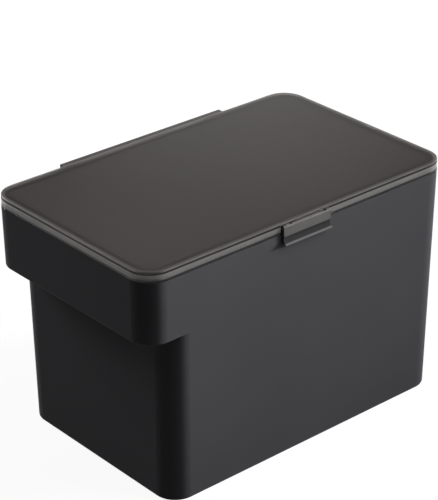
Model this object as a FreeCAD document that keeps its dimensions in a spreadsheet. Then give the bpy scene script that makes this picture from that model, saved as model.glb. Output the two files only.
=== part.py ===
import FreeCAD, Part
import math
import os

import Sketcher

# Pet food storage container: an open tub with a thicker upper block that overhangs one end,
# a hinged lid with a gasket and a flip latch, and a clear measuring cup that is kept inside.
# Millimetres. The origin is on the floor under the middle of the lid, +X runs along the long
# side, the overhang is at -X, the latch at -Y, the hinge at +Y, and +Z is up.

DOC = FreeCAD.newDocument("PetFoodStorageContainer")

SIZES = {
    # Lid
    "lid_length": 280.0,
    "lid_width": 172.0,
    "total_height": 187.0,
    "lid_corner": 17.5,
    "lid_side": 7.8,
    "lid_gap": 0.5,
    "lid_plate": 2.2,
    "skirt_wall": 2.0,
    "lid_edge": 0.7,
    "groove_drop": 1.1,
    "groove_height": 1.0,
    "groove_depth": 0.5,
    "flange_wall": 1.8,
    "flange_depth": 8.6,
    "flange_clearance": 0.6,
    # Container
    "body_corner": 17.0,
    "wall": 2.2,
    "floor_thickness": 2.6,
    "end_draft": 1.8,
    "side_draft": 3.1,
    "overhang_depth": 19.0,
    "overhang_height": 46.7,
    "foot_edge": 1.0,
    "rim_band_height": 8.4,
    "rim_band_slope": 3.0,
    "neck_setback": 3.8,
    "neck_wall": 1.6,
    "neck_height": 4.3,
    # Gasket
    "gasket_width": 2.8,
    "gasket_gap": 0.25,
    # Hinge
    "hood_width": 150.0,
    "hood_reach": 6.3,
    "hood_drop": 0.6,
    "hood_plate": 1.5,
    "hood_back": 1.2,
    "hood_round": 1.6,
    "hood_back_drop": 1.0,
    "hinge_reach": 2.6,
    "hinge_drop": 5.5,
    "hinge_pin_radius": 1.2,
    "hinge_bore_clearance": 0.05,
    "knuckle_radius": 2.7,
    "cheek_width": 3.0,
    "cheek_skin": 1.0,
    "ear_width": 7.0,
    "ear_radius": 2.2,
    "ear_depth": 13.0,
    "ear_root": 1.0,
    "ear_bulge": 0.5,
    "ear_bulge_drop": 8.8,
    "ear_gap": 0.5,
    "inner_knuckle_width": 4.0,
    "pin_end_gap": 0.2,
    # Latch
    "latch_width": 43.4,
    "latch_gap": 1.3,
    "latch_offset": 0.3,
    "latch_drop": 3.5,
    "latch_thickness": 1.9,
    "latch_flat": 6.5,
    "lip_reach": 2.0,
    "lip_drop": 11.2,
    "lip_edge": 0.9,
    "finger_radius": 3.0,
    "latch_foot": 10.9,
    "hook_reach": 1.5,
    "hook_drop": 8.9,
    "hook_height": 1.0,
    "hook_bevel": 0.7,
    "hook_clearance": 0.4,
    "notch_depth": 2.1,
    "notch_clearance": 0.4,
    "notch_back": 0.95,
    "lug_radius": 1.05,
    "lug_width": 4.0,
    "lug_spread": 16.0,
    "lug_clearance": 0.3,
    "latch_pin_radius": 0.5,
    "latch_bore_clearance": 0.05,
    # Measuring cup
    "cup_height": 82.0,
    "cup_wall": 1.6,
    "cup_floor": 2.0,
    "cup_base_length": 47.0,
    "cup_base_width": 43.0,
    "cup_waist_height": 46.0,
    "cup_flare": 1.9,
    "cup_step": 1.1,
    "cup_overhang": 6.5,
    "cup_corner": 7.5,
    "cup_rim": 1.3,
    "cup_rim_height": 1.7,
    "spout_reach": 4.7,
    "spout_width": 28.0,
    "spout_depth": 15.0,
    "spout_seat": 0.65,
    "spout_nose": 13.0,
    "spout_root": 4.8,
    "handle_reach": 16.0,
    "handle_width": 20.0,
    "handle_thickness": 2.0,
    "handle_length": 43.0,
    "handle_bend": 8.5,
    "handle_rib_width": 1.6,
    "handle_rib_depth": 1.4,
    "cup_place_x": 80.0,
    "cup_place_y": -34.0,
    "cup_seat_gap": 0.1,
}


def make_sheet():
    """The driving dimensions, one named cell each."""
    sheet = DOC.addObject("Spreadsheet::Sheet", "Sizes")
    for row, (alias, size) in enumerate(SIZES.items(), start=1):
        sheet.set(f"A{row}", alias.replace("_", " "))
        sheet.set(f"B{row}", str(size))
        sheet.setAlias(f"B{row}", alias)
    DOC.recompute()
    return sheet


SHEET = make_sheet()

# How far a cut runs past the surface it opens
PAST = "1"

# Levels above the floor and distances from the origin that several pieces share
TOP = "Sizes.total_height"
SKIRT_BOTTOM = "(Sizes.total_height - Sizes.lid_side)"
SHOULDER = "(Sizes.total_height - Sizes.lid_side - Sizes.lid_gap)"
NECK_TOP = f"({SHOULDER} + Sizes.neck_height)"
OVERHANG_BOTTOM = f"({SHOULDER} - Sizes.overhang_height)"
BAND_BOTTOM = f"({SHOULDER} - Sizes.rim_band_height)"
BAND_FULL = f"({BAND_BOTTOM} + Sizes.rim_band_slope)"
PLATE_UNDERSIDE = "(Sizes.total_height - Sizes.lid_plate)"
FLANGE_BOTTOM = "(Sizes.total_height - Sizes.flange_depth)"
GROOVE_TOP = "(Sizes.total_height - Sizes.groove_drop)"
MOUTH_INSET = "(Sizes.neck_setback + Sizes.neck_wall)"
FLANGE_INSET = f"({MOUTH_INSET} + Sizes.flange_clearance)"

BACK = "(Sizes.lid_width / 2)"
HINGE_Y = "(Sizes.lid_width / 2 + Sizes.hinge_reach)"
HINGE_Z = "(Sizes.total_height - Sizes.hinge_drop)"
HOOD_TOP = "(Sizes.total_height - Sizes.hood_drop)"
HOOD_BACK = "(Sizes.lid_width / 2 + Sizes.hood_reach)"
EAR_OUTER = "(Sizes.hood_width / 2 - Sizes.cheek_width - Sizes.ear_gap)"
EAR_INNER = f"({EAR_OUTER} - Sizes.ear_width)"
KNUCKLE_OUTER = f"({EAR_INNER} - Sizes.ear_gap)"
KNUCKLE_INNER = f"({KNUCKLE_OUTER} - Sizes.inner_knuckle_width)"
HINGE_PIN_OUTER = "(Sizes.hood_width / 2 - Sizes.cheek_skin)"

LATCH_Y = "(-Sizes.lid_width / 2 - Sizes.latch_offset)"
LATCH_Z = "(Sizes.total_height - Sizes.latch_drop)"
NOTCH_BACK_Y = "(-Sizes.lid_width / 2 + Sizes.notch_depth)"
NOTCH_TOP = f"({LATCH_Z} + Sizes.latch_thickness + Sizes.notch_clearance)"
NOTCH_HALF = "(Sizes.latch_width / 2 + Sizes.latch_gap)"
HOOK_BOTTOM = f"({LATCH_Z} - Sizes.hook_drop - Sizes.hook_height)"
HOOK_TOP = f"({LATCH_Z} - Sizes.hook_drop + Sizes.hook_bevel)"


def size_of(expression):
    """The present value of an expression on the sheet."""
    return float(SHEET.evalExpression(expression))


def origin_plane(body, role):
    """One of the body's own three base planes."""
    return [feature for feature in body.Origin.OriginFeatures if feature.Role == role][0]


def make_body(label):
    body = DOC.addObject("PartDesign::Body", label)
    body.Label = label
    return body


def make_sketch(body, name, role, level):
    """An empty sketch on a base plane, moved along its normal to a level."""
    sketch = body.newObject("Sketcher::SketchObject", name)
    sketch.AttachmentSupport = (origin_plane(body, role), [""])
    sketch.MapMode = "FlatFace"
    sketch.setExpression("AttachmentOffset.Base.z", level)
    return sketch


def bind(sketch, constraint, expression):
    """Add a sized constraint and tie it to the sheet."""
    index = sketch.addConstraint(constraint)
    sketch.setExpression(f"Constraints[{index}]", expression)


def pin_point(sketch, geometry, end, across, along):
    """Fix one end of a sketch line at the two given distances from the origin."""
    bind(sketch, Sketcher.Constraint("DistanceX", -1, 1, geometry, end, size_of(across)), across)
    bind(sketch, Sketcher.Constraint("DistanceY", -1, 1, geometry, end, size_of(along)), along)


def arc_between(start, end, radius, counterclockwise):
    """The shorter arc of that radius from start to end."""
    chord = end - start
    half = chord.Length / 2
    left = FreeCAD.Vector(-chord.y, chord.x, 0).normalize()
    side = 1 if counterclockwise else -1
    centre = (start + end) / 2 + left * side * math.sqrt(radius ** 2 - half ** 2)
    first, last = (start, end) if counterclockwise else (end, start)
    low = math.atan2(first.y - centre.y, first.x - centre.x)
    high = math.atan2(last.y - centre.y, last.x - centre.x)
    if high < low:
        high += 2 * math.pi
    return Part.ArcOfCircle(Part.Circle(centre, FreeCAD.Vector(0, 0, 1), radius), low, high)


def add_wire(sketch, stations):
    """A closed outline through stations (x, y), or (x, y, radius, turn) where an arc arrives.

    turn is "left" for an arc that runs counterclockwise and "right" for the other way.
    """
    places = [FreeCAD.Vector(size_of(s[0]), size_of(s[1]), 0) for s in stations]
    pieces = []
    for index, station in enumerate(stations):
        start = places[index - 1]
        end = places[index]
        if len(station) == 2:
            geometry = sketch.addGeometry(Part.LineSegment(start, end), False)
            pieces.append((geometry, 1, 2))
            continue
        turns_left = station[3] == "left"
        arc = arc_between(start, end, size_of(station[2]), turns_left)
        geometry = sketch.addGeometry(arc, False)
        pieces.append((geometry, 1, 2) if turns_left else (geometry, 2, 1))
        bind(sketch, Sketcher.Constraint("Radius", geometry, size_of(station[2])), station[2])
    for index, station in enumerate(stations):
        geometry, _, end = pieces[index]
        following, start, _ = pieces[(index + 1) % len(pieces)]
        sketch.addConstraint(Sketcher.Constraint("Coincident", geometry, end, following, start))
        pin_point(sketch, geometry, end, station[0], station[1])


def add_rounded(sketch, sides, corner):
    """A rectangle with four equal round corners. sides holds x and y of its four sides."""
    left, right, front, back = sides
    add_wire(sketch, [
        (f"{right} - ({corner})", front),
        (right, f"{front} + ({corner})", corner, "left"),
        (right, f"{back} - ({corner})"),
        (f"{right} - ({corner})", back, corner, "left"),
        (f"{left} + ({corner})", back),
        (left, f"{back} - ({corner})", corner, "left"),
        (left, f"{front} + ({corner})"),
        (f"{left} + ({corner})", front, corner, "left"),
    ])


def add_box(sketch, left, right, low, high):
    add_wire(sketch, [(right, low), (right, high), (left, high), (left, low)])


def add_circle(sketch, across, along, radius):
    centre = FreeCAD.Vector(size_of(across), size_of(along), 0)
    circle = Part.Circle(centre, FreeCAD.Vector(0, 0, 1), size_of(radius))
    geometry = sketch.addGeometry(circle, False)
    bind(sketch, Sketcher.Constraint("Radius", geometry, size_of(radius)), radius)
    pin_point(sketch, geometry, 3, across, along)


def pad(body, name, sketch, length):
    """Add material from the sketch along its normal."""
    feature = body.newObject("PartDesign::Pad", name)
    feature.Profile = sketch
    feature.setExpression("Length", length)
    DOC.recompute()
    return feature


def pocket(body, name, sketch, length, inward=False):
    """Cut material away from the sketch along its normal, or against it where inward is set."""
    feature = body.newObject("PartDesign::Pocket", name)
    feature.Profile = sketch
    feature.Reversed = not inward
    feature.setExpression("Length", length)
    DOC.recompute()
    return feature


def loft(body, name, outlines, cuts=False):
    """A straight-sided block through outlines, lowest first, added or cut away."""
    kind = "PartDesign::SubtractiveLoft" if cuts else "PartDesign::AdditiveLoft"
    feature = body.newObject(kind, name)
    feature.Profile = outlines[0]
    feature.Sections = outlines[1:]
    feature.Ruled = True
    DOC.recompute()
    return feature


def round_top(body, name, base, level, radius):
    """A fillet on every edge of the feature that lies at its top level."""
    edges = enumerate(base.Shape.Edges, start=1)
    lowest = size_of(level) - size_of(radius) / 2
    names = [f"Edge{number}" for number, edge in edges if edge.BoundBox.ZMin > lowest]
    feature = body.newObject("PartDesign::Fillet", name)
    feature.Base = (base, names)
    feature.setExpression("Radius", radius)
    DOC.recompute()
    return feature


def pair_start(side, outer, inner):
    """Where a piece of a mirrored pair starts along X: the pieces span inner to outer."""
    return f"(-{outer})" if side < 0 else f"({inner})"


def lid_sides(inset):
    """The four sides of the lid's outline, moved in by inset."""
    return (
        f"(-Sizes.lid_length / 2 + {inset})",
        f"(Sizes.lid_length / 2 - {inset})",
        f"(-Sizes.lid_width / 2 + {inset})",
        f"(Sizes.lid_width / 2 - {inset})",
    )


def body_sides(level, inset, end_setback="0"):
    """The container's outline at a level: its walls lean out from the floor to the shoulder."""
    end = f"(Sizes.lid_length / 2 - Sizes.end_draft * (1 - ({level}) / {SHOULDER}) - {inset})"
    side = f"(Sizes.lid_width / 2 - Sizes.side_draft * (1 - ({level}) / {SHOULDER}) - {inset})"
    return (f"(-{end} + {end_setback})", end, f"(-{side})", side)


def body_outline(body, name, level, inset, end_setback="0"):
    sketch = make_sketch(body, name, "XY_Plane", level)
    corner = f"(Sizes.body_corner - {inset})"
    add_rounded(sketch, body_sides(level, inset, end_setback), corner)
    return sketch


def body_block(body, name, stations, end_setback="0", cuts=False):
    """A stretch of the container, or of the room inside it, through (level, inset) stations."""
    outlines = []
    for number, (level, inset) in enumerate(stations):
        outlines.append(body_outline(body, f"{name}_{number}", level, inset, end_setback))
    return loft(body, name, outlines, cuts)


def rounded_foot(level):
    """Stations that round the bottom edge of a block that stands on a level."""
    edge = "Sizes.foot_edge"
    return [
        (level, f"({edge} * (1 - sin(45)) * 2)"),
        (f"({level} + {edge} * (1 - sin(45)))", f"({edge} * (1 - sin(45)))"),
        (f"({level} + {edge})", "0"),
    ]


def build_container():
    """The tub: lower block, overhanging upper block, rim band, neck, hinge ears and latch slot."""
    body = make_body("container_body")
    setback = "Sizes.overhang_depth"
    top = [(SHOULDER, "0")]
    body_block(body, "lower_block", rounded_foot("0") + top, setback)
    body_block(body, "upper_block", rounded_foot(OVERHANG_BOTTOM) + top)

    neck = make_sketch(body, "neck_outline", "XY_Plane", SHOULDER)
    inset = "Sizes.neck_setback"
    add_rounded(neck, body_sides(SHOULDER, inset), f"(Sizes.body_corner - {inset})")
    pad(body, "neck", neck, "Sizes.neck_height")

    for side, name in ((-1, "left"), (1, "right")):
        ear = make_sketch(body, f"ear_outline_{name}", "YZ_Plane",
                          pair_start(side, EAR_OUTER, EAR_INNER))
        root = f"({BACK} - Sizes.ear_root)"
        add_wire(ear, [
            (root, f"{HINGE_Z} - Sizes.ear_depth"),
            (f"{HINGE_Y} + Sizes.ear_bulge", f"{HINGE_Z} - Sizes.ear_bulge_drop"),
            (f"{HINGE_Y} + Sizes.ear_radius", HINGE_Z),
            (HINGE_Y, f"{HINGE_Z} + Sizes.ear_radius", "Sizes.ear_radius", "left"),
            (f"{HINGE_Y} - Sizes.ear_radius", HINGE_Z, "Sizes.ear_radius", "left"),
            (f"{HINGE_Y} - Sizes.ear_radius", SHOULDER),
            (root, SHOULDER),
        ])
        pad(body, f"ear_{name}", ear, "Sizes.ear_width")

    wall = "Sizes.wall"
    band = [(BAND_BOTTOM, wall)]
    body_block(body, "lower_room", [("Sizes.floor_thickness", wall)] + band, setback, True)
    body_block(body, "overhang_room", [(f"({OVERHANG_BOTTOM} + {wall})", wall)] + band, cuts=True)
    body_block(body, "band_slope", band + [(BAND_FULL, MOUTH_INSET)], cuts=True)
    mouth = make_sketch(body, "mouth_outline", "XY_Plane", BAND_FULL)
    add_rounded(mouth, body_sides(SHOULDER, MOUTH_INSET), f"(Sizes.body_corner - {MOUTH_INSET})")
    pocket(body, "mouth", mouth, f"{NECK_TOP} - {BAND_FULL}")

    slot = make_sketch(body, "latch_slot_outline", "XZ_Plane", f"{BACK} + {PAST}")
    half = "(Sizes.latch_width / 2 + Sizes.hook_clearance)"
    add_box(slot, f"-{half}", half,
            f"{HOOK_BOTTOM} - Sizes.hook_clearance", f"{HOOK_TOP} + Sizes.hook_clearance")
    slot_depth = f"{PAST} - Sizes.latch_offset + Sizes.hook_reach + Sizes.hook_clearance"
    pocket(body, "latch_slot", slot, slot_depth, inward=True)

    for side, name in ((-1, "left"), (1, "right")):
        bore = make_sketch(body, f"ear_bore_outline_{name}", "YZ_Plane",
                           pair_start(side, EAR_OUTER, EAR_INNER))
        add_circle(bore, HINGE_Y, HINGE_Z, "Sizes.hinge_pin_radius + Sizes.hinge_bore_clearance")
        pocket(body, f"ear_bore_{name}", bore, "Sizes.ear_width")
    return body


def build_lid():
    """The lid: flat plate, skirt with its groove, inner flange, hinge hood and latch lugs."""
    body = make_body("lid")
    outline = make_sketch(body, "lid_outline", "XY_Plane", SKIRT_BOTTOM)
    add_rounded(outline, lid_sides("0"), "Sizes.lid_corner")
    block = pad(body, "lid_block", outline, "Sizes.lid_side")

    round_top(body, "lid_edge_rounding", block, TOP, "Sizes.lid_edge")

    inside = make_sketch(body, "lid_inside_outline", "XY_Plane", SKIRT_BOTTOM)
    add_rounded(inside, lid_sides("Sizes.skirt_wall"), "(Sizes.lid_corner - Sizes.skirt_wall)")
    pocket(body, "lid_inside", inside, "Sizes.lid_side - Sizes.lid_plate")

    flange = make_sketch(body, "flange_outline", "XY_Plane", FLANGE_BOTTOM)
    inner = f"({FLANGE_INSET} + Sizes.flange_wall)"
    add_rounded(flange, lid_sides(FLANGE_INSET), f"(Sizes.body_corner - {FLANGE_INSET})")
    add_rounded(flange, lid_sides(inner), f"(Sizes.body_corner - {inner})")
    pad(body, "flange", flange, f"{PLATE_UNDERSIDE} - {FLANGE_BOTTOM}")

    groove = make_sketch(body, "groove_outline", "XY_Plane", f"{GROOVE_TOP} - Sizes.groove_height")
    depth = "Sizes.groove_depth"
    add_rounded(groove, lid_sides(f"(-{PAST})"), f"(Sizes.lid_corner + {PAST})")
    add_rounded(groove, lid_sides(depth), f"(Sizes.lid_corner - {depth})")
    pocket(body, "groove", groove, "Sizes.groove_height")

    add_hood(body)
    add_latch_seat(body)
    return body


def add_hood(body):
    """The strip along the lid's back edge, its end cheeks and the knuckles under it."""
    root = f"({BACK} - Sizes.skirt_wall / 2)"
    hood = make_sketch(body, "hood_outline", "YZ_Plane", "-Sizes.hood_width / 2")
    inner_back = f"({HOOD_BACK} - Sizes.hood_back)"
    hood_bottom = f"({HINGE_Z} - Sizes.hood_back_drop)"
    add_wire(hood, [
        (root, HOOD_TOP),
        (root, f"{HOOD_TOP} - Sizes.hood_plate"),
        (inner_back, f"{HOOD_TOP} - Sizes.hood_plate"),
        (inner_back, hood_bottom),
        (HOOD_BACK, hood_bottom),
        (HOOD_BACK, f"{HOOD_TOP} - Sizes.hood_round"),
        (f"{HOOD_BACK} - Sizes.hood_round", HOOD_TOP, "Sizes.hood_round", "left"),
    ])
    pad(body, "hood", hood, "Sizes.hood_width")

    cheek = "Sizes.cheek_width"
    knuckles = (
        ("cheek", "(Sizes.hood_width / 2)", "(Sizes.hood_width / 2 - Sizes.cheek_width)", cheek),
        ("knuckle", KNUCKLE_OUTER, KNUCKLE_INNER, "Sizes.inner_knuckle_width"),
    )
    bore = "Sizes.hinge_pin_radius + Sizes.hinge_bore_clearance"
    for side, name in ((-1, "left"), (1, "right")):
        for kind, outer, inner, width in knuckles:
            plate = make_sketch(body, f"{kind}_outline_{name}", "YZ_Plane",
                                pair_start(side, outer, inner))
            middle = f"({HOOD_TOP} - Sizes.hood_plate / 2)"
            rim = f"({HINGE_Y} + Sizes.knuckle_radius)"
            add_wire(plate, [
                (rim, middle),
                (root, middle),
                (root, SKIRT_BOTTOM),
                (HINGE_Y, f"{HINGE_Z} - Sizes.knuckle_radius"),
                (rim, HINGE_Z, "Sizes.knuckle_radius", "left"),
            ])
            pad(body, f"{kind}_{name}", plate, width)

        window = make_sketch(body, f"hood_window_outline_{name}", "YZ_Plane",
                             pair_start(side, f"({EAR_OUTER} + Sizes.ear_gap)", KNUCKLE_OUTER))
        add_box(window, f"({HINGE_Y} + Sizes.ear_radius)", f"({HOOD_BACK} + {PAST})",
                f"{hood_bottom} - {PAST}", f"{HOOD_TOP} - Sizes.hood_plate")
        pocket(body, f"hood_window_{name}", window, "Sizes.ear_width + 2 * Sizes.ear_gap")

        hole = make_sketch(body, f"hinge_bore_outline_{name}", "YZ_Plane",
                           pair_start(side, HINGE_PIN_OUTER, KNUCKLE_INNER))
        add_circle(hole, HINGE_Y, HINGE_Z, bore)
        pocket(body, f"hinge_bore_{name}", hole, f"{HINGE_PIN_OUTER} - {KNUCKLE_INNER}")


def add_latch_seat(body):
    """The notch in the front skirt, the wall behind it and the two lugs that hold the latch."""
    backing = make_sketch(body, "notch_backing_outline", "XY_Plane",
                          f"{LATCH_Z} - Sizes.latch_thickness")
    half = f"({NOTCH_HALF} + Sizes.skirt_wall)"
    add_box(backing, f"-{half}", half, "(-Sizes.lid_width / 2 + Sizes.skirt_wall / 2)",
            f"({NOTCH_BACK_Y} + Sizes.notch_back)")
    pad(body, "notch_backing", backing,
        "Sizes.latch_drop + Sizes.latch_thickness - Sizes.lid_plate / 2")

    notch = make_sketch(body, "notch_outline", "XY_Plane", f"{SKIRT_BOTTOM} - {PAST}")
    add_box(notch, f"-{NOTCH_HALF}", NOTCH_HALF, f"(-{BACK} - {PAST})", NOTCH_BACK_Y)
    pocket(body, "notch", notch, f"{NOTCH_TOP} - {SKIRT_BOTTOM} + {PAST}")

    radius = "Sizes.lug_radius"
    root = f"({NOTCH_BACK_Y} + Sizes.notch_back / 2)"
    for side, name in ((-1, "left"), (1, "right")):
        outer = "(Sizes.lug_spread + Sizes.lug_width / 2)"
        inner = "(Sizes.lug_spread - Sizes.lug_width / 2)"
        lug = make_sketch(body, f"latch_lug_outline_{name}", "YZ_Plane",
                          pair_start(side, outer, inner))
        add_wire(lug, [
            (root, f"{LATCH_Z} + {radius}"),
            (LATCH_Y, f"{LATCH_Z} + {radius}"),
            (f"{LATCH_Y} - {radius}", LATCH_Z, radius, "left"),
            (LATCH_Y, f"{LATCH_Z} - {radius}", radius, "left"),
            (root, f"{LATCH_Z} - {radius}"),
        ])
        pad(body, f"latch_lug_{name}", lug, "Sizes.lug_width")
        bore = make_sketch(body, f"latch_lug_bore_outline_{name}", "YZ_Plane",
                           pair_start(side, outer, inner))
        add_circle(bore, LATCH_Y, LATCH_Z, "Sizes.latch_pin_radius + Sizes.latch_bore_clearance")
        pocket(body, f"latch_lug_bore_{name}", bore, "Sizes.lug_width")


def build_gasket():
    """The soft ring round the flange that the neck presses on."""
    body = make_body("lid_gasket")
    level = f"({NECK_TOP} + Sizes.gasket_gap)"
    outer = f"({FLANGE_INSET} - Sizes.gasket_width)"
    ring = make_sketch(body, "gasket_outline", "XY_Plane", level)
    add_rounded(ring, lid_sides(outer), f"(Sizes.body_corner - {outer})")
    add_rounded(ring, lid_sides(FLANGE_INSET), f"(Sizes.body_corner - {FLANGE_INSET})")
    pad(body, "gasket_ring", ring, f"{PLATE_UNDERSIDE} - {level}")
    return body


def build_latch():
    """The flip latch: barrel, flat plate, finger groove, lip and the hook behind it."""
    body = make_body("latch")
    thick = "Sizes.latch_thickness"
    face = f"({LATCH_Y} - {thick})"
    lip = f"({face} - Sizes.lip_reach)"
    lip_top = f"({LATCH_Z} - Sizes.lip_drop)"
    hook = f"({LATCH_Y} + Sizes.hook_reach)"
    profile = make_sketch(body, "latch_profile", "YZ_Plane", "-Sizes.latch_width / 2")
    add_wire(profile, [
        (face, LATCH_Z, thick, "left"),
        (face, f"{LATCH_Z} - Sizes.latch_flat"),
        (lip, lip_top, "Sizes.finger_radius", "right"),
        (lip, f"{lip_top} - Sizes.lip_edge"),
        (LATCH_Y, f"{LATCH_Z} - Sizes.latch_foot"),
        (LATCH_Y, HOOK_BOTTOM),
        (hook, HOOK_BOTTOM),
        (hook, f"{HOOK_BOTTOM} + Sizes.hook_height"),
        (LATCH_Y, HOOK_TOP),
        (LATCH_Y, f"{LATCH_Z} - {thick}"),
        (f"{LATCH_Y} + {thick}", LATCH_Z, thick, "left"),
        (LATCH_Y, f"{LATCH_Z} + {thick}", thick, "left"),
    ])
    pad(body, "latch_plate", profile, "Sizes.latch_width")

    room = "(Sizes.lug_radius + Sizes.lug_clearance)"
    outer = "(Sizes.lug_spread + Sizes.lug_width / 2 + Sizes.lug_clearance)"
    inner = "(Sizes.lug_spread - Sizes.lug_width / 2 - Sizes.lug_clearance)"
    for side, name in ((-1, "left"), (1, "right")):
        slot = make_sketch(body, f"lug_slot_outline_{name}", "YZ_Plane",
                           pair_start(side, outer, inner))
        add_box(slot, f"({LATCH_Y} - {room})", f"({LATCH_Y} + {thick} + {PAST})",
                f"{LATCH_Z} - {room}", f"{LATCH_Z} + {thick} + {PAST}")
        pocket(body, f"lug_slot_{name}", slot, "Sizes.lug_width + 2 * Sizes.lug_clearance")

    bore = make_sketch(body, "latch_bore_outline", "YZ_Plane", "-Sizes.latch_width / 2")
    add_circle(bore, LATCH_Y, LATCH_Z, "Sizes.latch_pin_radius + Sizes.latch_bore_clearance")
    pocket(body, "latch_bore", bore, "Sizes.latch_width")
    return body


def build_pin(label, start, length, across, along, radius):
    """A plain steel pin along X."""
    body = make_body(label)
    circle = make_sketch(body, f"{label}_outline", "YZ_Plane", start)
    add_circle(circle, across, along, radius)
    pad(body, f"{label}_rod", circle, length)
    return body


def cup_sides(grow, left=0, right=0):
    """The cup's outline about its own middle: the base grown by an amount on every side."""
    length = "Sizes.cup_base_length / 2"
    width = "Sizes.cup_base_width / 2"
    return (
        f"(-{length} - {grow} - {left})",
        f"({length} + {grow} + {right})",
        f"(-{width} - {grow})",
        f"({width} + {grow})",
    )


def cup_block(body, name, low, high, low_grow, high_grow, left="0", right="0", cuts=False):
    """A stretch of the cup, or of the room inside it, between two levels."""
    outlines = []
    for end, level, grow in (("low", low, low_grow), ("high", high, high_grow)):
        sketch = make_sketch(body, f"{name}_{end}", "XY_Plane", level)
        add_rounded(sketch, cup_sides(grow, left, right), f"(Sizes.cup_corner + {grow})")
        outlines.append(sketch)
    return loft(body, name, outlines, cuts)


def build_cup():
    """The measuring cup: two stepped lofted blocks, rim, pouring lip and open hook handle."""
    body = make_body("measuring_cup")
    flare = "Sizes.cup_flare"
    step = f"({flare} + Sizes.cup_step)"
    mouth = f"({step} + {flare})"
    thin = "Sizes.cup_wall"
    waist = "Sizes.cup_waist_height"
    height = "Sizes.cup_height"
    end = "Sizes.cup_overhang"
    cup_block(body, "cup_lower", "0", waist, "0", flare)
    cup_block(body, "cup_upper", f"({waist} - {thin})", height, step, mouth, "0", end)

    rim = make_sketch(body, "cup_rim_outline", "XY_Plane", f"{height} - Sizes.cup_rim_height")
    edge = f"({mouth} + Sizes.cup_rim)"
    add_rounded(rim, cup_sides(edge, "0", end), f"(Sizes.cup_corner + {edge})")
    pad(body, "cup_rim_ring", rim, "Sizes.cup_rim_height")

    lip = f"(-Sizes.cup_base_length / 2 - {mouth})"
    add_spout(body, "spout", lip, "0", False)
    add_handle(body, f"(Sizes.cup_base_length / 2 + {mouth} + {end})")

    cup_block(body, "cup_lower_room", "Sizes.cup_floor", f"{waist}",
              f"(-{thin})", f"({flare} - {thin})", cuts=True)
    cup_block(body, "cup_upper_room", waist, height,
              f"({step} - {thin})", f"({mouth} - {thin})", "0", end, True)
    add_spout(body, "spout_room", lip, thin, True)

    body.setExpression("Placement.Base.x", "Sizes.cup_place_x")
    body.setExpression("Placement.Base.y", "Sizes.cup_place_y")
    body.setExpression("Placement.Base.z", "Sizes.floor_thickness + Sizes.cup_seat_gap")
    body.Placement.Rotation = FreeCAD.Rotation(FreeCAD.Vector(0, 0, 1), 180)
    return body


def add_spout(body, name, lip, inset, cuts):
    """The pouring lip, or the room in it: a wedge that grows out of the end wall up to the rim."""
    root = f"({lip} + Sizes.spout_root)"
    nose = f"(Sizes.spout_nose / 2 - {inset})"
    low_tip = f"({lip} + Sizes.spout_seat + {inset})"
    high_tip = f"({lip} - Sizes.spout_reach + {inset})"
    stations = (
        ("low", "Sizes.cup_height - Sizes.spout_depth", low_tip, f"({nose} + Sizes.spout_seat)"),
        ("high", "Sizes.cup_height", high_tip, f"(Sizes.spout_width / 2 - {inset})"),
    )
    outlines = []
    for end, level, tip, spread in stations:
        sketch = make_sketch(body, f"{name}_{end}", "XY_Plane", level)
        add_wire(sketch, [(root, spread), (tip, nose), (tip, f"-{nose}"), (root, f"-{spread}")])
        outlines.append(sketch)
    loft(body, name, outlines, cuts)


def add_handle(body, wall):
    """The open-ended hook handle: a wide strip out from the rim and down, ribbed at both edges."""
    side = "Sizes.handle_width / 2"
    rib = "Sizes.handle_rib_width"
    deep = "(Sizes.handle_thickness + Sizes.handle_rib_depth)"
    add_hook(body, "handle", wall, f"-{side}", "Sizes.handle_width", "Sizes.handle_thickness")
    add_hook(body, "handle_rib_back", wall, f"-{side}", rib, deep)
    add_hook(body, "handle_rib_front", wall, f"{side} - {rib}", rib, deep)


def add_hook(body, name, wall, start, width, thick):
    """One strip of the hook, measured inwards from the handle's outer face."""
    reach = f"({wall} + Sizes.handle_reach)"
    top = "Sizes.cup_height"
    foot = f"({top} - Sizes.handle_length)"
    root = f"({wall} - Sizes.cup_wall / 2)"
    bend = "Sizes.handle_bend"
    strip = make_sketch(body, f"{name}_outline", "XZ_Plane", start)
    add_wire(strip, [
        (root, top),
        (root, f"({top} - {thick})"),
        (f"({reach} - {bend})", f"({top} - {thick})"),
        (f"({reach} - {thick})", f"({top} - {bend})", f"({bend} - {thick})", "right"),
        (f"({reach} - {thick})", foot),
        (reach, foot),
        (reach, f"({top} - {bend})"),
        (f"({reach} - {bend})", top, bend, "left"),
    ])
    pad(body, name, strip, width)


def build_all():
    pin_length = f"({HINGE_PIN_OUTER} - {KNUCKLE_INNER} - 2 * Sizes.pin_end_gap)"
    left = f"(-{HINGE_PIN_OUTER} + Sizes.pin_end_gap)"
    right = f"({KNUCKLE_INNER} + Sizes.pin_end_gap)"
    hinge = (HINGE_Y, HINGE_Z, "Sizes.hinge_pin_radius")
    latch_start = "(-Sizes.latch_width / 2 + Sizes.pin_end_gap)"
    latch_length = "(Sizes.latch_width - 2 * Sizes.pin_end_gap)"
    return [
        build_container(),
        build_lid(),
        build_gasket(),
        build_latch(),
        build_pin("latch_pin", latch_start, latch_length, LATCH_Y, LATCH_Z, "Sizes.latch_pin_radius"),
        build_pin("hinge_pin_left", left, pin_length, *hinge),
        build_pin("hinge_pin_right", right, pin_length, *hinge),
        build_cup(),
    ]


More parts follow.
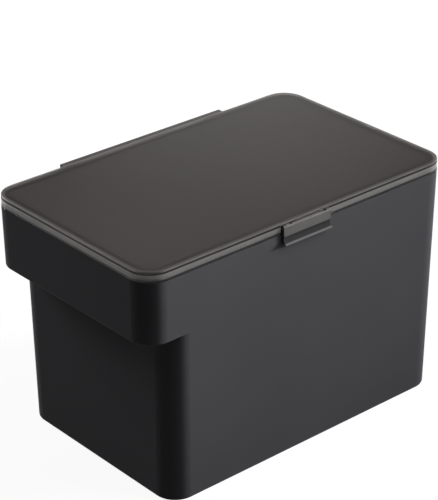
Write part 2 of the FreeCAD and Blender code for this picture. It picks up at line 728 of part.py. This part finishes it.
def check_document(bodies):
    """Every feature is up to date, every cut removes material and every piece is one valid solid."""
    for thing in DOC.Objects:
        if "Invalid" in thing.State or "Error" in thing.State:
            raise RuntimeError(f"{thing.Name} failed: {thing.State}")
    for body in bodies:
        before = 0.0
        for feature in body.Group:
            if not feature.isDerivedFrom("PartDesign::Feature"):
                continue
            volume = feature.Shape.Volume
            cuts = feature.TypeId in ("PartDesign::Pocket", "PartDesign::SubtractiveLoft")
            if cuts and volume >= before:
                raise RuntimeError(f"{feature.Name} cuts nothing")
            before = volume
        if body.Shape.isNull() or not body.Shape.isValid():
            raise RuntimeError(f"{body.Label} has no valid shape")
        if len(body.Shape.Solids) != 1:
            raise RuntimeError(f"{body.Label} is not one solid")


def main():
    bodies = build_all()
    DOC.recompute()
    check_document(bodies)
    os.makedirs("parts", exist_ok=True)
    for body in bodies:
        body.Shape.exportStep(f"parts/{body.Label}.step")
        print(body.Label, round(body.Shape.Volume / 1000, 2), "cm3")


main()
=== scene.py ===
import math

import bmesh
import bpy
from mathutils import Matrix, Vector


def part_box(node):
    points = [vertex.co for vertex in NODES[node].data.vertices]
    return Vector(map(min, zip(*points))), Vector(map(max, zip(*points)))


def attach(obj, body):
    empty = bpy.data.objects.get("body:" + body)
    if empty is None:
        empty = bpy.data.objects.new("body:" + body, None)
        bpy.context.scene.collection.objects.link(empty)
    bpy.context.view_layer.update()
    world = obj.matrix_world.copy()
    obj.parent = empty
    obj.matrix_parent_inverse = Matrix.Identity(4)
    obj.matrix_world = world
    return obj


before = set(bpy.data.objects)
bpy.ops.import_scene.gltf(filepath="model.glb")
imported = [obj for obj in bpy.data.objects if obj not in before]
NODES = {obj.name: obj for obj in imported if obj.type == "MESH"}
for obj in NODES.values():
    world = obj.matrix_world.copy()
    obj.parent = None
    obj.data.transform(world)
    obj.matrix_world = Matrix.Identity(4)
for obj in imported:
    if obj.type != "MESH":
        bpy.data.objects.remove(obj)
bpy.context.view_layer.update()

# Pet food storage container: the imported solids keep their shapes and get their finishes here, and
# the measuring cup gets its printed graduations. Metres, the same frame as the solids.

# The lid: half of its plan, the radius of its corners, and the levels of its groove and lower edge
LID_HALF_LENGTH = 0.140
LID_HALF_WIDTH = 0.086
LID_CORNER = 0.0175
GROOVE_HIGH = 0.1859
GROOVE_LOW = 0.1849
SKIRT_LOW = 0.1792

# The lid's zones of tone, which paint highlights, light and shade onto it: how far each one reaches,
# and how softly it passes into the next
RIM_WIDTH = 0.0034
RIM_SOFT = 0.3 * RIM_WIDTH
EDGE_SOFT = 0.0005
TOP_SOFT = 0.0002
LINE_BELOW = 0.0002
LINE_ABOVE = 0.0001
LINE_SOFT = 0.0001
HEM_HEIGHT = 0.0013
HEM_SOFT = 0.0004
FOLD_INNER = 0.0009
FOLD_OUTER = 0.0003
FOLD_SOFT = 0.0003

# The latch: the levels between which its finger groove lies, painted with shade, and below which its
# flange is painted with a highlight;
# the soft step at each of them, and how much rougher the groove is than the rest
LATCH_GROOVE_TOP = 0.1774
LATCH_LIP_TOP = 0.1727
LATCH_SOFT = 0.0003
LATCH_GROOVE_MATTE = 0.55

# Noise cells per metre: the slow wave of a slender wall, and the fine speck of the resin's gloss
WAVE_SCALE = 16.0
SPECK_SCALE = 420.0

# The sockets of a Mix node when it mixes colours
MIX_FACTOR = 0
MIX_FIRST = 6
MIX_SECOND = 7
MIX_RESULT = 2


# Shader building

def new_material(name):
    """An empty material with its Principled shader, ready to be wired."""
    material = bpy.data.materials.new(name)
    material.use_nodes = True
    tree = material.node_tree
    tree.nodes.clear()
    output = tree.nodes.new("ShaderNodeOutputMaterial")
    shader = tree.nodes.new("ShaderNodeBsdfPrincipled")
    tree.links.new(shader.outputs["BSDF"], output.inputs["Surface"])
    return material, tree, shader


def new_group(name, values, outputs):
    """A shader node group. It takes a surface place and named numbers, and gives named numbers."""
    group = bpy.data.node_groups.new(name, "ShaderNodeTree")
    group.interface.new_socket("Place", in_out="INPUT", socket_type="NodeSocketVector")
    for label, default in values.items():
        socket = group.interface.new_socket(label, in_out="INPUT", socket_type="NodeSocketFloat")
        socket.default_value = default
    for label in outputs:
        group.interface.new_socket(label, in_out="OUTPUT", socket_type="NodeSocketFloat")
    source = group.nodes.new("NodeGroupInput")
    target = group.nodes.new("NodeGroupOutput")
    return group, source, target


def place_group(tree, group, place, **values):
    """An effect placed in a material, fed with the surface place and its own values."""
    node = tree.nodes.new("ShaderNodeGroup")
    node.node_tree = group
    tree.links.new(place, node.inputs["Place"])
    for label, value in values.items():
        node.inputs[label].default_value = value
    return node


def object_place(tree):
    """Where a point lies on its own piece, in metres."""
    return tree.nodes.new("ShaderNodeTexCoord").outputs["Object"]


def feed(tree, socket, value):
    """Give a socket its value: the output of another node, or a plain number or colour."""
    if isinstance(value, bpy.types.NodeSocket):
        tree.links.new(value, socket)
    else:
        socket.default_value = value


def noise(tree, place, scale, detail=2.0, roughness=0.5):
    node = tree.nodes.new("ShaderNodeTexNoise")
    tree.links.new(place, node.inputs["Vector"])
    feed(tree, node.inputs["Scale"], scale)
    node.inputs["Detail"].default_value = detail
    node.inputs["Roughness"].default_value = roughness
    return node.outputs["Fac"]


def spread(tree, value, from_low, from_high, to_low, to_high):
    """A value moved from one range to another and held inside it."""
    node = tree.nodes.new("ShaderNodeMapRange")
    tree.links.new(value, node.inputs["Value"])
    node.inputs["From Min"].default_value = from_low
    node.inputs["From Max"].default_value = from_high
    node.inputs["To Min"].default_value = to_low
    node.inputs["To Max"].default_value = to_high
    return node.outputs["Result"]


def above(tree, value, low, high):
    """A mask that rises from nothing at low to one at high."""
    return spread(tree, value, low, high, 0.0, 1.0)


def below(tree, value, low, high):
    """A mask that falls from one at low to nothing at high."""
    return spread(tree, value, low, high, 1.0, 0.0)


def arithmetic(tree, operation, *terms):
    """A calculation on one or two terms, each an output of a node or a plain number."""
    node = tree.nodes.new("ShaderNodeMath")
    node.operation = operation
    for socket, term in zip(node.inputs, terms):
        feed(tree, socket, term)
    return node.outputs["Value"]


def band(tree, value, low, high, soft):
    """A mask that is one where a value lies between two limits, with a soft step at each."""
    over = above(tree, value, low - soft, low)
    under = below(tree, value, high, high + soft)
    return arithmetic(tree, "MULTIPLY", over, under)


def blend_tones(tree, mask, first, second):
    """One colour passing into another by a mask. Each is an output of a node or a plain colour."""
    node = tree.nodes.new("ShaderNodeMix")
    node.data_type = "RGBA"
    tree.links.new(mask, node.inputs[MIX_FACTOR])
    for index, tone in ((MIX_FIRST, first), (MIX_SECOND, second)):
        feed(tree, node.inputs[index], (*tone, 1.0) if isinstance(tone, tuple) else tone)
    return node.outputs[MIX_RESULT]


def relief(tree, shader, height, distance, strength):
    """Fine relief on a shader. distance is its depth in metres."""
    node = tree.nodes.new("ShaderNodeBump")
    node.inputs["Distance"].default_value = distance
    node.inputs["Strength"].default_value = strength
    tree.links.new(height, node.inputs["Height"])
    tree.links.new(node.outputs["Normal"], shader.inputs["Normal"])


# Effects that several finishes share

def moulded_grain():
    """The fine grain that a spark-eroded mould leaves, with the slow waviness of a slender wall."""
    group, source, target = new_group("moulded_grain", {"Scale": 3200.0, "Waviness": 0.3}, ("Height",))
    place = source.outputs["Place"]
    fine = noise(group, place, source.outputs["Scale"], detail=3.0, roughness=0.6)
    wave = noise(group, place, WAVE_SCALE, detail=1.0)
    slow = arithmetic(group, "MULTIPLY", wave, source.outputs["Waviness"])
    height = arithmetic(group, "ADD", fine, slow)
    group.links.new(height, target.inputs["Height"])
    return group


def resin_tone():
    """Slow, barely visible variation of the coloured resin: a mask for tone and for gloss."""
    group, source, target = new_group("resin_tone", {"Scale": 14.0}, ("Tone", "Gloss"))
    place = source.outputs["Place"]
    slow = noise(group, place, source.outputs["Scale"], roughness=0.45)
    speck = noise(group, place, SPECK_SCALE, roughness=0.6)
    mixed = arithmetic(group, "MULTIPLY", slow, speck)
    # The middle of each noise's range is stretched to the whole of its mask
    group.links.new(above(group, slow, 0.35, 0.65), target.inputs["Tone"])
    group.links.new(above(group, mixed, 0.12, 0.38), target.inputs["Gloss"])
    return group


GRAIN = moulded_grain()
RESIN = resin_tone()


def moulded(name, resin_scale, grain_scale, waviness, depth, strength):
    """A new material with a mould's grain, given with its tree, shader, place and resin."""
    material, tree, shader = new_material(name)
    place = object_place(tree)
    resin = place_group(tree, RESIN, place, Scale=resin_scale)
    grain = place_group(tree, GRAIN, place, Scale=grain_scale, Waviness=waviness)
    relief(tree, shader, grain.outputs["Height"], depth, strength)
    return material, tree, shader, place, resin


def resin_blend(tree, resin, first, second):
    """A colour that wanders between two close tones of the resin."""
    return blend_tones(tree, resin.outputs["Tone"], first, second)


def resin_gloss(tree, resin, low, high):
    """A roughness that wanders between two values with the gloss of the resin."""
    return spread(tree, resin.outputs["Gloss"], 0.0, 1.0, low, high)


# Finishes

def charcoal_plastic():
    """The container: matte charcoal polypropylene."""
    material, tree, shader, _, resin = moulded(
        "charcoal_plastic", resin_scale=9.0, grain_scale=2600.0, waviness=0.25, depth=0.00002,
        strength=0.6)
    tone = resin_blend(tree, resin, (0.0515, 0.0515, 0.0560), (0.0565, 0.0565, 0.0610))
    tree.links.new(tone, shader.inputs["Base Color"])
    tree.links.new(resin_gloss(tree, resin, 0.42, 0.54), shader.inputs["Roughness"])
    shader.inputs["Specular IOR Level"].default_value = 0.016
    return material


LID_TONES = {
    # zone of the lid: its tone, each laid over the ones before it
    # painted highlight: the outer band of the rim, on the top and over the edge, is given a pale tone
    # where light catches it
    "PaintedRimHighlight": (0.348, 0.323, 0.306),
    # painted light: the skirt below the groove is given a much paler tone than the top, standing in for
    # the light that passes out through it
    "PaintedSkirtLight": (0.710, 0.689, 0.670),
    "Hood": (0.178, 0.153, 0.139),
    # painted highlight: a near-white strip on the top along the back edge, where the lid folds into the
    # hinge hood
    "PaintedFoldHighlight": (0.970, 0.940, 0.920),
    # painted shade: near-black lines in the groove and along the skirt's lower edge, where shade falls
    "Line": (0.010, 0.010, 0.010),
}


def lid_zones():
    """Where a point lies on the lid: its rim and skirt, painted pale as a painted highlight and painted
    light; its hinge hood; the fold before the hood, for a painted highlight; and the groove and lower
    edge, for lines of painted shade.
    """
    group, source, target = new_group("lid_zones", {}, LID_TONES)
    parts = group.nodes.new("ShaderNodeSeparateXYZ")
    group.links.new(source.outputs["Place"], parts.inputs[0])
    height = parts.outputs["Z"]
    squares = []
    for axis, half in (("X", LID_HALF_LENGTH), ("Y", LID_HALF_WIDTH)):
        away = arithmetic(group, "ABSOLUTE", parts.outputs[axis])
        past = arithmetic(group, "SUBTRACT", away, half - LID_CORNER)
        past = arithmetic(group, "MAXIMUM", past, 0.0)
        squares.append(arithmetic(group, "MULTIPLY", past, past))
    # How far a point lies outside the rectangle of the corners' centres: LID_CORNER at the edge
    outward = arithmetic(group, "SQRT", arithmetic(group, "ADD", *squares))
    rim_start = LID_CORNER - RIM_WIDTH
    rim_end = LID_CORNER + EDGE_SOFT
    side = band(group, outward, rim_start, rim_end, EDGE_SOFT)
    under_groove = below(group, height, GROOVE_LOW, GROOVE_HIGH)
    # Painted highlight: a near-white strip on the top along the back edge
    back_edge = band(group, parts.outputs["Y"], LID_HALF_WIDTH - FOLD_INNER,
                     LID_HALF_WIDTH + FOLD_OUTER, FOLD_SOFT)
    top = above(group, height, GROOVE_HIGH - TOP_SOFT, GROOVE_HIGH)
    # Painted shade: the groove and the lowest part of the skirt, by the gap to the tub, get a
    # near-black tone
    groove = band(group, height, GROOVE_LOW - LINE_BELOW, GROOVE_HIGH + LINE_ABOVE, LINE_SOFT)
    hem = below(group, height, SKIRT_LOW + HEM_HEIGHT, SKIRT_LOW + HEM_HEIGHT + HEM_SOFT)
    masks = {
        "PaintedRimHighlight": above(group, outward, rim_start, rim_start + RIM_SOFT),
        # Painted light: the side faces under the groove take the pale skirt tone
        "PaintedSkirtLight": arithmetic(group, "MULTIPLY", under_groove, side),
        "Hood": above(group, outward, rim_end, rim_end + EDGE_SOFT),
        "PaintedFoldHighlight": arithmetic(group, "MULTIPLY", back_edge, top),
        "Line": arithmetic(group, "MAXIMUM", groove, hem),
    }
    for zone, mask in masks.items():
        group.links.new(mask, target.inputs[zone])
    return group


def smoke_lid():
    """The lid: satin smoke-tinted plastic, dark over the store, with a painted highlight on its rim and
    at the back fold, painted light on its skirt, and painted shade in its groove and along its lower
    edge.
    """
    material, tree, shader, place, resin = moulded(
        "smoke_lid", resin_scale=7.0, grain_scale=3000.0, waviness=0.5, depth=0.00001, strength=0.5)
    zones = place_group(tree, lid_zones(), place)
    tone = resin_blend(tree, resin, (0.124, 0.104, 0.096), (0.140, 0.117, 0.109))
    # The zones lay a painted highlight, painted light and painted shade over the resin's own tone
    for zone, zone_tone in LID_TONES.items():
        tone = blend_tones(tree, zones.outputs[zone], tone, zone_tone)
    tree.links.new(tone, shader.inputs["Base Color"])
    tree.links.new(resin_gloss(tree, resin, 0.30, 0.40), shader.inputs["Roughness"])
    shader.inputs["IOR"].default_value = 1.30
    shader.inputs["Transmission Weight"].default_value = 0.90
    return material


def smoke_latch():
    """The latch: the same smoke plastic, with painted shade in its finger groove and a painted
    highlight along the flange at its foot.
    """
    material, tree, shader, place, resin = moulded(
        "smoke_latch", resin_scale=40.0, grain_scale=3000.0, waviness=0.5, depth=0.00001, strength=0.5)
    parts = tree.nodes.new("ShaderNodeSeparateXYZ")
    tree.links.new(place, parts.inputs[0])
    height = parts.outputs["Z"]
    # Painted shade: the finger groove gets a near-black tone, where shade falls in it
    groove_shade = band(tree, height, LATCH_LIP_TOP, LATCH_GROOVE_TOP, LATCH_SOFT)
    # Painted highlight: the flange at the foot gets a paler tone, where light catches it
    lip_highlight = below(tree, height, LATCH_LIP_TOP - LATCH_SOFT, LATCH_LIP_TOP)
    tone = resin_blend(tree, resin, (0.062, 0.059, 0.057), (0.073, 0.069, 0.067))
    tone = blend_tones(tree, groove_shade, tone, (0.008, 0.008, 0.008))
    tone = blend_tones(tree, lip_highlight, tone, (0.115, 0.107, 0.108))
    tree.links.new(tone, shader.inputs["Base Color"])
    matte = arithmetic(tree, "MULTIPLY", groove_shade, LATCH_GROOVE_MATTE)
    roughness = arithmetic(tree, "ADD", resin_gloss(tree, resin, 0.30, 0.40), matte)
    tree.links.new(roughness, shader.inputs["Roughness"])
    shader.inputs["Specular IOR Level"].default_value = 0.25
    return material


def silicone_rubber():
    """The gasket: matte pale grey silicone."""
    material, tree, shader, _, resin = moulded(
        "silicone_rubber", resin_scale=30.0, grain_scale=1800.0, waviness=0.1, depth=0.00003,
        strength=0.5)
    tone = resin_blend(tree, resin, (0.60, 0.60, 0.59), (0.66, 0.66, 0.65))
    tree.links.new(tone, shader.inputs["Base Color"])
    tree.links.new(resin_gloss(tree, resin, 0.60, 0.75), shader.inputs["Roughness"])
    return material


def drawn_steel():
    """The pins: steel rod with the fine lines of its drawing along X."""
    material, tree, shader = new_material("drawn_steel")
    stretched = tree.nodes.new("ShaderNodeMapping")
    stretched.inputs["Scale"].default_value = (40.0, 4000.0, 4000.0)
    tree.links.new(object_place(tree), stretched.inputs["Vector"])
    lines = noise(tree, stretched.outputs["Vector"], 1.0, detail=3.0)
    tone = blend_tones(tree, lines, (0.50, 0.50, 0.51), (0.62, 0.62, 0.63))
    tree.links.new(tone, shader.inputs["Base Color"])
    shader.inputs["Metallic"].default_value = 1.0
    tree.links.new(spread(tree, lines, 0.3, 0.7, 0.22, 0.36), shader.inputs["Roughness"])
    relief(tree, shader, lines, distance=0.00001, strength=0.4)
    return material


def clear_plastic():
    """The measuring cup: clear moulded styrene with a trace of waviness."""
    material, tree, shader, _, resin = moulded(
        "clear_plastic", resin_scale=24.0, grain_scale=260.0, waviness=1.0, depth=0.00003,
        strength=0.25)
    shader.inputs["Base Color"].default_value = (0.955, 0.965, 0.965, 1.0)
    tree.links.new(resin_gloss(tree, resin, 0.015, 0.06), shader.inputs["Roughness"])
    shader.inputs["IOR"].default_value = 1.49
    shader.inputs["Transmission Weight"].default_value = 1.0
    return material


def black_ink():
    """The printed graduations: screen ink, thinner where the squeegee lifted."""
    material, tree, shader = new_material("black_ink")
    resin = place_group(tree, RESIN, object_place(tree), Scale=900.0)
    tone = resin_blend(tree, resin, (0.010, 0.010, 0.011), (0.030, 0.030, 0.032))
    tree.links.new(tone, shader.inputs["Base Color"])
    tree.links.new(resin_gloss(tree, resin, 0.35, 0.55), shader.inputs["Roughness"])
    return material


def dress(node, material):
    """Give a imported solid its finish."""
    mesh = NODES[node].data
    mesh.materials.clear()
    mesh.materials.append(material)


STEEL = drawn_steel()

dress("container_body", charcoal_plastic())
dress("lid", smoke_lid())
dress("latch", smoke_latch())
dress("lid_gasket", silicone_rubber())
for pin in ("latch_pin", "hinge_pin_left", "hinge_pin_right"):
    dress(pin, STEEL)
dress("measuring_cup", clear_plastic())


# The measuring cup's printed graduations

# The cup: its base and middle, and its long walls, which lean out by the flare below the step at
# the waist and again above it
CUP_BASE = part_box("measuring_cup")[0].z
CUP_MIDDLE_X = 0.080
CUP_MIDDLE_Y = -0.034
CUP_HALF_WIDTH = 0.0215
CUP_WAIST = 0.046
CUP_HEIGHT = 0.082
CUP_FLARE = 0.0019
CUP_STEP = 0.0011
CUP_WALL = 0.0016

# The ink: how far it stands out of the wall, reaches into it and widens the numbers' strokes
INK_PROUD = 0.00005
INK_SUNK = 0.00002
INK_SPREAD = 0.00010

# The scale: its offset from the cup's middle, its numbers, and the bars on both sides of them.
# A long bar's middle lies LONG_BAR_OUT from the number's, and CHARACTER_ROOM more per character
SCALE_OFFSET_X = -0.003
NUMBER_SIZE = 0.0044
NUMBER_DROP = 0.0004
NUMBER_CURVE_STEPS = 3
CHARACTER_ROOM = 0.0011
LONG_BAR_OUT = 0.0065
LONG_BAR_LENGTH = 0.0062
LONG_BAR_HEIGHT = 0.00055
SHORT_BAR_OUT = 0.0112
SHORT_BAR_LENGTH = 0.0036
SHORT_BAR_HEIGHT = 0.00045
SAME_POINT = 0.000001

MARKS = (
    # millilitres in the cup's own room, level above its base in metres
    (25, 0.0163),
    (50, 0.0299),
    (75, 0.0424),
    (100, 0.0533),
    (125, 0.0627),
    (150, 0.0718),
)


def wall_at(level):
    """How far the long wall stands from the cup's middle at a level, and how much it leans."""
    step_level = CUP_WAIST - CUP_WALL
    if level < step_level:
        lean = CUP_FLARE / CUP_WAIST
        return CUP_HALF_WIDTH + level * lean, math.atan(lean)
    lean = CUP_FLARE / (CUP_HEIGHT - step_level)
    reach = CUP_HALF_WIDTH + CUP_FLARE + CUP_STEP + (level - step_level) * lean
    return reach, math.atan(lean)


def ink_bars(stamp, out, length, height):
    """Two flat printed bars in the XY plane of the stamp, one on each side of its middle."""
    depth = INK_PROUD + INK_SUNK
    middle = (INK_PROUD - INK_SUNK) / 2
    for hand in (-1, 1):
        made = bmesh.ops.create_cube(stamp, size=1.0)["verts"]
        bmesh.ops.scale(stamp, vec=(length, height, depth), verts=made)
        bmesh.ops.translate(stamp, vec=(hand * out, 0.0, middle), verts=made)


def ink_number(stamp, text):
    """A number drawn in the XY plane of the stamp, its middle just under the level of its bars."""
    curve = bpy.data.curves.new("number", "FONT")
    curve.body = text
    curve.size = NUMBER_SIZE
    curve.align_x = "CENTER"
    curve.align_y = "CENTER"
    curve.resolution_u = NUMBER_CURVE_STEPS
    curve.offset = INK_SPREAD
    curve.extrude = (INK_PROUD + INK_SUNK) / 2
    holder = bpy.data.objects.new("number", curve)
    mesh = holder.to_mesh()
    mesh.transform(Matrix.Translation((0, -NUMBER_DROP, (INK_PROUD - INK_SUNK) / 2)))
    stamp.from_mesh(mesh)
    holder.to_mesh_clear()
    bpy.data.objects.remove(holder)
    bpy.data.curves.remove(curve)


def press_on(whole, stamp, level, side):
    """Turn a flat stamp onto a long wall at a level and add it to the whole print."""
    reach, lean = wall_at(level)
    upright = Matrix.Rotation(math.radians(90) + lean, 4, "X")
    turn = Matrix.Rotation(math.radians(180) if side > 0 else 0.0, 4, "Z")
    spot = Vector((CUP_MIDDLE_X + SCALE_OFFSET_X, CUP_MIDDLE_Y + side * reach, CUP_BASE + level))
    stamp.transform(Matrix.Translation(spot) @ turn @ upright)
    mesh = bpy.data.meshes.new("stamp")
    stamp.to_mesh(mesh)
    stamp.free()
    whole.from_mesh(mesh)
    bpy.data.meshes.remove(mesh)


def print_scale(name, side, labels):
    """The scale on one long wall. side is -1 for the wall at -Y and +1 for the one at +Y."""
    whole = bmesh.new()
    levels = [level for _, level in MARKS]
    for index, (label, level) in enumerate(zip(labels, levels)):
        stamp = bmesh.new()
        ink_number(stamp, label)
        ink_bars(stamp, LONG_BAR_OUT + CHARACTER_ROOM * len(label), LONG_BAR_LENGTH, LONG_BAR_HEIGHT)
        press_on(whole, stamp, level, side)
        if index + 1 < len(levels):
            stamp = bmesh.new()
            ink_bars(stamp, SHORT_BAR_OUT, SHORT_BAR_LENGTH, SHORT_BAR_HEIGHT)
            press_on(whole, stamp, (level + levels[index + 1]) / 2, side)
    bmesh.ops.remove_doubles(whole, verts=whole.verts, dist=SAME_POINT)
    bmesh.ops.recalc_face_normals(whole, faces=whole.faces)
    mesh = bpy.data.meshes.new(name)
    whole.to_mesh(mesh)
    whole.free()
    mesh.materials.append(INK)
    piece = bpy.data.objects.new(name, mesh)
    bpy.context.scene.collection.objects.link(piece)
    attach(piece, "cup")


INK = black_ink()
print_scale("cup_scale_back", 1, [str(amount) for amount, _ in MARKS])
print_scale("cup_scale_front", -1, [f"{amount / 1000:.3f}" for amount, _ in MARKS])


# Floor, light and camera

# The floor: it glows at the near level by the container and is full white from the far distance on
FLOOR_RADIUS = 8.0
FLOOR_SIDES = 96
FLOOR_GREY = 0.16
NEAR_GLOW = 0.88
NEAR_DISTANCE = 0.35
FAR_DISTANCE = 0.90

# The world's strength: as the lid and tub mirror it, and as an even fill
MIRRORED_WHITE = 0.28
EVEN_FILL = 0.06

LAMPS = (
    # name, place, aim, diameter, watts, and the full angle in degrees that its grid lets through
    ("key_lamp", (2.40, -1.22, 0.90), (-0.40, -0.08, 0.36), 0.8, 6.6, 25.0),
    ("top_lamp", (0.32, -0.50, 0.84), (0.0, 0.0, 0.15), 0.4, 4.5, 180.0),
    ("back_lamp", (-0.42, 1.58, 1.00), (0.0, 0.0, 0.10), 0.8, 26.0, 180.0),
    ("sheen_lamp", (0.75, 0.85, 0.40), (0.0, 0.0, 0.18), 0.5, 0.62, 180.0),
)

# The camera: metres, degrees, millimetres of lens and sensor, and the range of distances it sees
CAMERA_PLACE = (-0.85054, -0.98103, 0.79362)
CAMERA_TURN = (62.807, 0.278, -40.937)
CAMERA_LENS = 145.195
CAMERA_SENSOR = 36.0
NEAREST_SEEN = 0.05
FURTHEST_SEEN = 30.0


def camera_like(tree):
    """One for rays that show the background: seen directly, mirrored or through clear plastic."""
    path = tree.nodes.new("ShaderNodeLightPath")
    seen = arithmetic(tree, "MAXIMUM", path.outputs["Is Camera Ray"], path.outputs["Is Glossy Ray"])
    return arithmetic(tree, "MAXIMUM", seen, path.outputs["Is Transmission Ray"])


def white_floor():
    """A pale studio floor that keeps a soft shadow near the container and is white further off."""
    material = bpy.data.materials.new("studio_floor")
    material.use_nodes = True
    tree = material.node_tree
    tree.nodes.clear()
    output = tree.nodes.new("ShaderNodeOutputMaterial")
    diffuse = tree.nodes.new("ShaderNodeBsdfDiffuse")
    diffuse.inputs["Color"].default_value = (FLOOR_GREY, FLOOR_GREY, FLOOR_GREY, 1.0)
    glow = tree.nodes.new("ShaderNodeEmission")
    distance = tree.nodes.new("ShaderNodeVectorMath")
    distance.operation = "LENGTH"
    tree.links.new(object_place(tree), distance.inputs[0])
    level = spread(tree, distance.outputs["Value"], NEAR_DISTANCE, FAR_DISTANCE, NEAR_GLOW, 1.0)
    tree.links.new(arithmetic(tree, "MULTIPLY", level, camera_like(tree)), glow.inputs["Strength"])
    both = tree.nodes.new("ShaderNodeAddShader")
    tree.links.new(diffuse.outputs["BSDF"], both.inputs[0])
    tree.links.new(glow.outputs["Emission"], both.inputs[1])
    tree.links.new(both.outputs["Shader"], output.inputs["Surface"])
    return material


def lay_floor():
    """A round sheet of floor, with the container at its middle."""
    sheet = bmesh.new()
    bmesh.ops.create_circle(sheet, cap_ends=True, segments=FLOOR_SIDES, radius=FLOOR_RADIUS)
    mesh = bpy.data.meshes.new("studio_floor")
    sheet.to_mesh(mesh)
    sheet.free()
    mesh.materials.append(white_floor())
    floor = bpy.data.objects.new("studio_floor", mesh)
    bpy.context.scene.collection.objects.link(floor)


def light_world():
    """A weak even fill, white where it is seen directly and grey where it is mirrored."""
    world = bpy.data.worlds.new("studio")
    world.use_nodes = True
    tree = world.node_tree
    back = tree.nodes["Background"]
    back.inputs["Color"].default_value = (1.0, 1.0, 1.0, 1.0)
    path = tree.nodes.new("ShaderNodeLightPath")
    direct = arithmetic(tree, "MAXIMUM", path.outputs["Is Camera Ray"],
                        path.outputs["Is Transmission Ray"])
    mirrored = arithmetic(tree, "MULTIPLY", path.outputs["Is Glossy Ray"], MIRRORED_WHITE)
    seen = arithmetic(tree, "MAXIMUM", mirrored, direct)
    tree.links.new(arithmetic(tree, "MAXIMUM", seen, EVEN_FILL), back.inputs["Strength"])
    bpy.context.scene.world = world


def soft_lamp(name, place, aim, size, power, beam):
    """A round softbox that shines from its place towards its aim."""
    lamp = bpy.data.lights.new(name, "AREA")
    lamp.spread = math.radians(beam)
    lamp.shape = "DISK"
    lamp.size = size
    lamp.energy = power
    holder = bpy.data.objects.new(name, lamp)
    holder.location = place
    holder.rotation_euler = (Vector(aim) - Vector(place)).to_track_quat("-Z", "Y").to_euler()
    bpy.context.scene.collection.objects.link(holder)


def set_camera():
    """The photograph's own viewpoint, solved from the edges of the lid and the tub."""
    camera = bpy.data.cameras.new("camera")
    camera.lens = CAMERA_LENS
    camera.sensor_width = CAMERA_SENSOR
    camera.clip_start = NEAREST_SEEN
    camera.clip_end = FURTHEST_SEEN
    holder = bpy.data.objects.new("camera", camera)
    holder.location = CAMERA_PLACE
    holder.rotation_euler = [math.radians(turn) for turn in CAMERA_TURN]
    bpy.context.scene.collection.objects.link(holder)
    bpy.context.scene.camera = holder


lay_floor()
light_world()
for lamp in LAMPS:
    soft_lamp(*lamp)
set_camera()
bpy.context.scene.view_settings.view_transform = "Standard"
